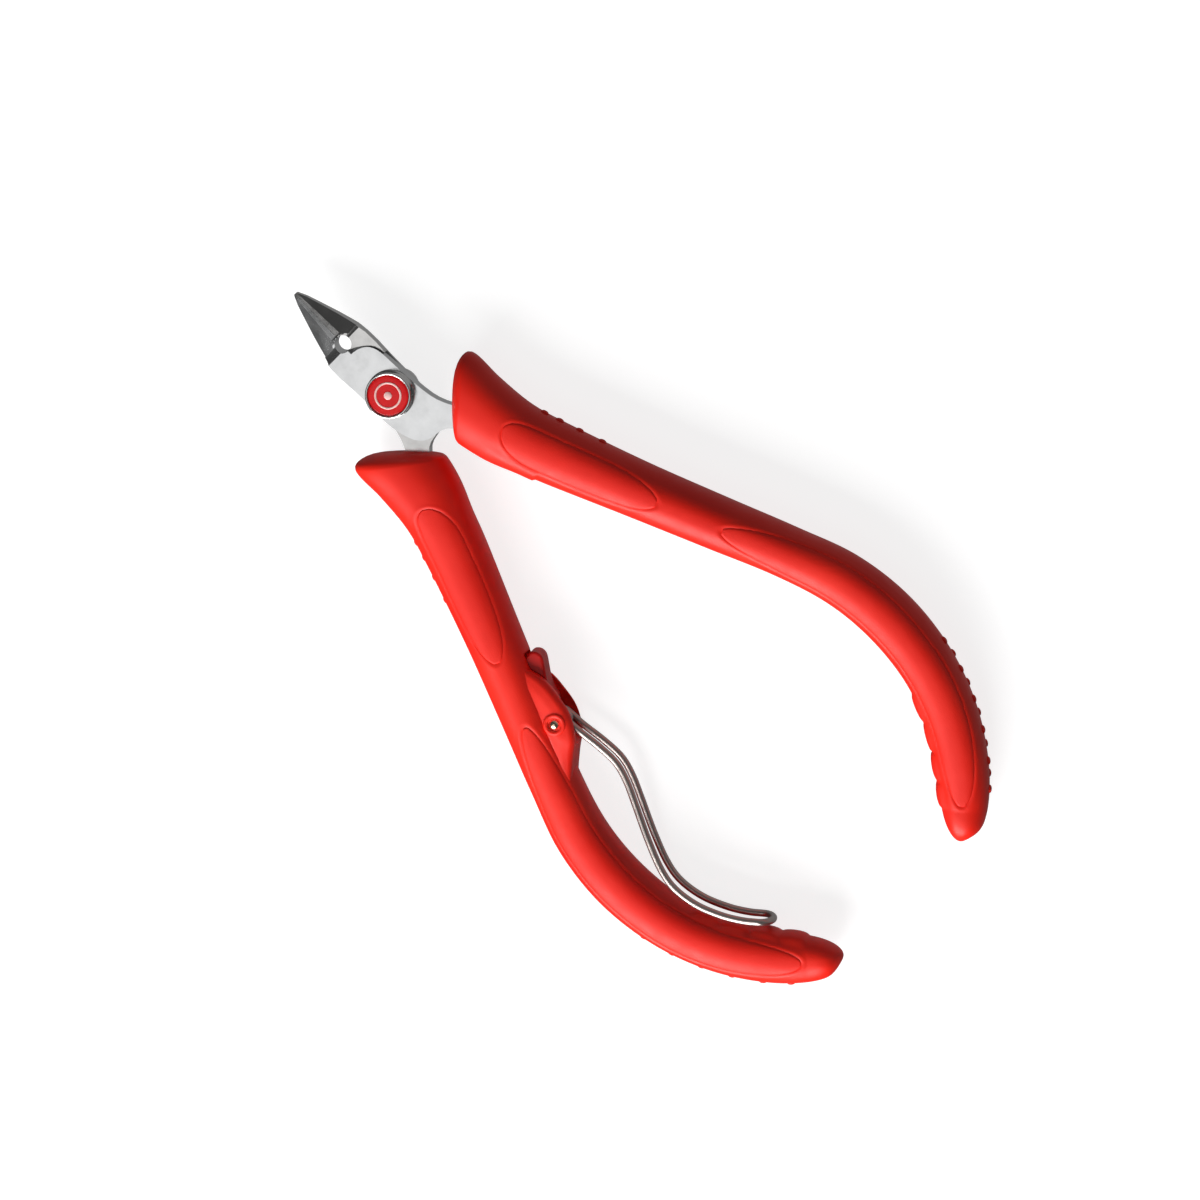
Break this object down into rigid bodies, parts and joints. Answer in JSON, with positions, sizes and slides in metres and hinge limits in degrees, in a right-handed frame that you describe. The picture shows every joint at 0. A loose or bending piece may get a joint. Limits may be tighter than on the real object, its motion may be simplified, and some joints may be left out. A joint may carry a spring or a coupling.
{
  "type": "flush cutter",
  "caption": "Small flush cutter with pointed lap-jointed jaws, bowed soft grips with inlays and nubs, and a folding looped wire spring on the left grip.",
  "frame": {"origin": "on the pivot axis, in the plane that the tool lies on", "axes": "+X points to the jaw tips, +Y to the grip that carries the spring (left as seen from the front with the tips away from the viewer), +Z out of the front face with the enamelled cap"},
  "size_m": [0.1285, 0.0664, 0.01],
  "materials": {
    "polished_steel": "polished forged steel",
    "spring_steel": "bright drawn wire",
    "pin_brass": "bright turned",
    "grip_red": "satin moulded elastomer",
    "inlay_red": "fine matt moulded elastomer",
    "catch_red": "satin moulded",
    "cap_enamel": "gloss enamel"
  },
  "bodies": {
    "left_half": {"left_lever": "polished_steel", "left_grip": "grip_red", "left_front_thumb_inlay": "inlay_red", "left_front_palm_inlay": "inlay_red", "left_rear_thumb_inlay": "inlay_red", "left_rear_palm_inlay": "inlay_red", "pivot_bolt": "polished_steel", "pivot_nut": "polished_steel", "pivot_cap": "cap_enamel", "spring_pin": "pin_brass"},
    "right_half": {"right_lever": "polished_steel", "right_grip": "grip_red", "right_front_thumb_inlay": "inlay_red", "right_front_palm_inlay": "inlay_red", "right_rear_thumb_inlay": "inlay_red", "right_rear_palm_inlay": "inlay_red"},
    "spring": {"return_spring": "spring_steel"},
    "catch": {"spring_catch": "catch_red"}
  },
  "joints": [
    {"name": "jaw_pivot", "type": "hinge", "parent": "left_half", "child": "right_half", "pos_m": [0, 0, 0.005], "axis": [0, 0, 1], "range_deg": [0, 20]},
    {"name": "spring_swing", "type": "hinge", "parent": "left_half", "child": "spring", "pos_m": [-0.052, 0.0178, 0.005], "axis": [0, 0, 1], "range_deg": [0, 60]},
    {"name": "catch_rock", "type": "hinge", "parent": "left_half", "child": "catch", "pos_m": [-0.052, 0.0178, 0.005], "axis": [0, 0, 1], "range_deg": [-18, 0]}
  ]
}
